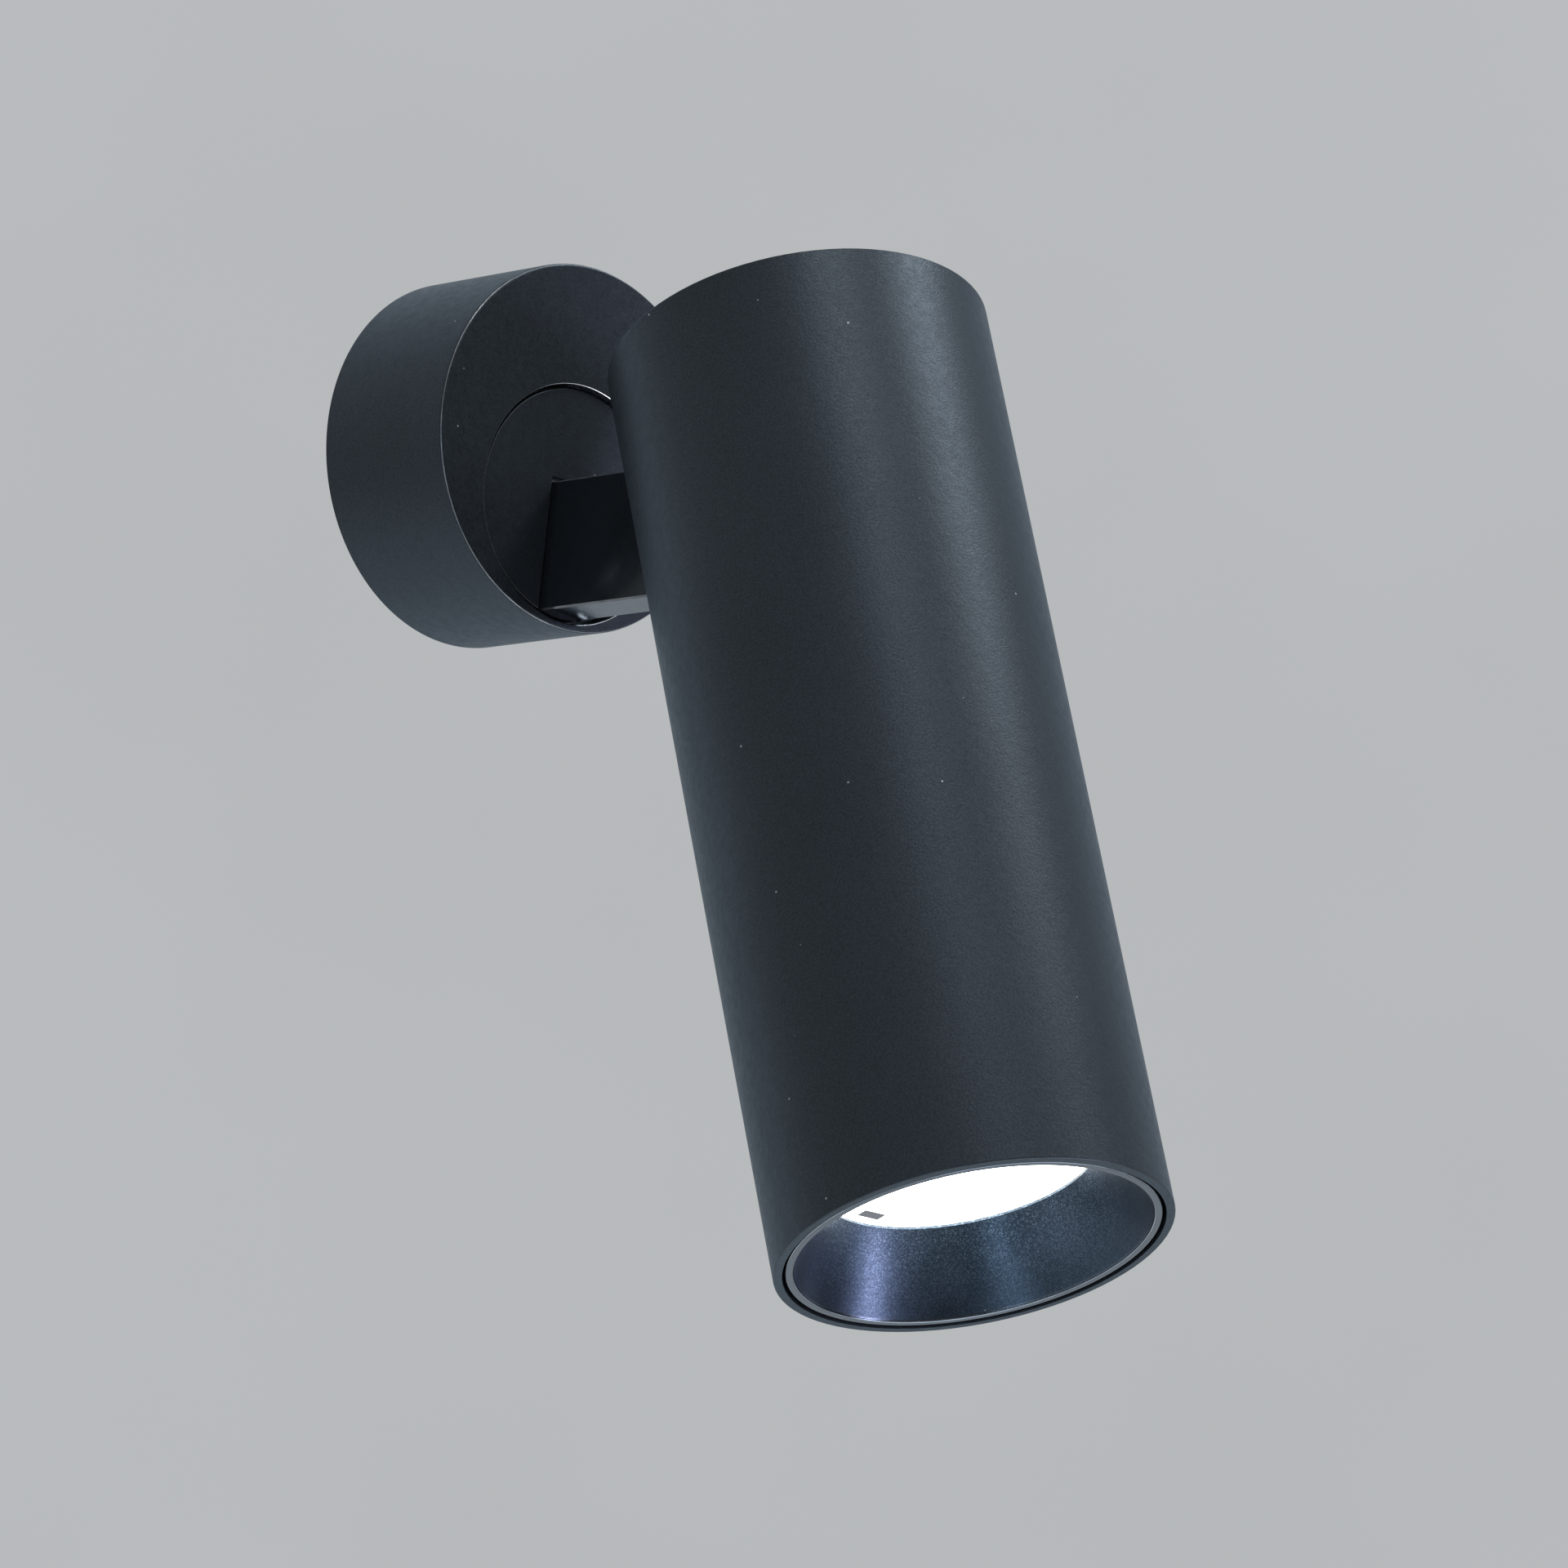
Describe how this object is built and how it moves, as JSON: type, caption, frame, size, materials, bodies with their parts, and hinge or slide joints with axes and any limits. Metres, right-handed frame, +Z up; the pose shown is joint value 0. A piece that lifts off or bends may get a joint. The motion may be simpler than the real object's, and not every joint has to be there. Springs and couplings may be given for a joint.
{
  "type": "pivoting spotlight wall light",
  "caption": "Round wall base with an off-centre turning disc, a flat arm and a long tubular spotlight head that tilts on the arm.",
  "frame": {"origin": "centre of the base's back face, on the wall", "axes": "+Z up, the light stands out from the wall along -Y, +X to the right as seen from in front"},
  "size_m": [0.0604, 0.1628, 0.1744],
  "materials": {
    "powder_coat": "fine matt powder coat, near black",
    "zinc_plated_steel": "zinc plated sheet",
    "plain_steel": "plain",
    "dark_steel": "blackened",
    "brass": "plain",
    "black_rubber": "matt",
    "white_plastic": "moulded",
    "grey_pad": "soft pad",
    "board_white": "ceramic board",
    "phosphor": "silicone over phosphor",
    "bare_aluminium": "die cast, bare",
    "bright_reflector": "spun and polished",
    "black_chrome": "glossy dark metal",
    "lit_lens": "diffusing, lit from behind"
  },
  "bodies": {
    "base": {"wall_bracket": "zinc_plated_steel", "cable_grommet": "black_rubber", "earth_screw": "brass", "earth_washer": "plain_steel", "terminal_block": "white_plastic", "terminal_screws": "plain_steel", "base_cup": "powder_coat", "base_grub_screw": "dark_steel", "bearing_plate": "zinc_plated_steel", "bearing_plate_screws": "plain_steel", "stop_pin": "plain_steel", "slip_washer": "white_plastic"},
    "turret": {"turret_carrier": "bare_aluminium", "turret_cover": "powder_coat", "wave_washer": "plain_steel", "spindle_washer": "plain_steel", "spindle_nut": "brass", "arm": "powder_coat", "arm_grub_screws": "dark_steel"},
    "head": {"hinge_bolt": "plain_steel", "hinge_washers": "white_plastic", "hinge_lock_washer": "plain_steel", "hinge_nut": "plain_steel", "yoke": "bare_aluminium", "yoke_screws": "dark_steel", "head_tube": "powder_coat", "end_cap": "powder_coat", "tie_rods": "plain_steel", "tie_nuts": "plain_steel", "driver_case": "white_plastic", "driver_lid": "white_plastic", "driver_screws": "plain_steel", "heat_sink": "bare_aluminium", "thermal_pad": "grey_pad", "cob_board": "board_white", "cob_emitter": "phosphor", "cob_holder": "white_plastic", "cob_screws": "plain_steel", "inner_reflector": "bright_reflector", "seat_ring": "bare_aluminium", "lens_gasket": "black_rubber", "lens": "lit_lens", "trim_cone": "black_chrome"}
  },
  "joints": [
    {"name": "turret_turn", "type": "hinge", "parent": "base", "child": "turret", "pos_m": [0, -0.0205, -0.0093], "axis": [0, -1, 0], "range_deg": [-170, 170]},
    {"name": "head_tilt", "type": "hinge", "parent": "turret", "child": "head", "pos_m": [0, -0.0696, -0.017], "axis": [-1, 0, 0], "range_deg": [-22, 68]}
  ]
}
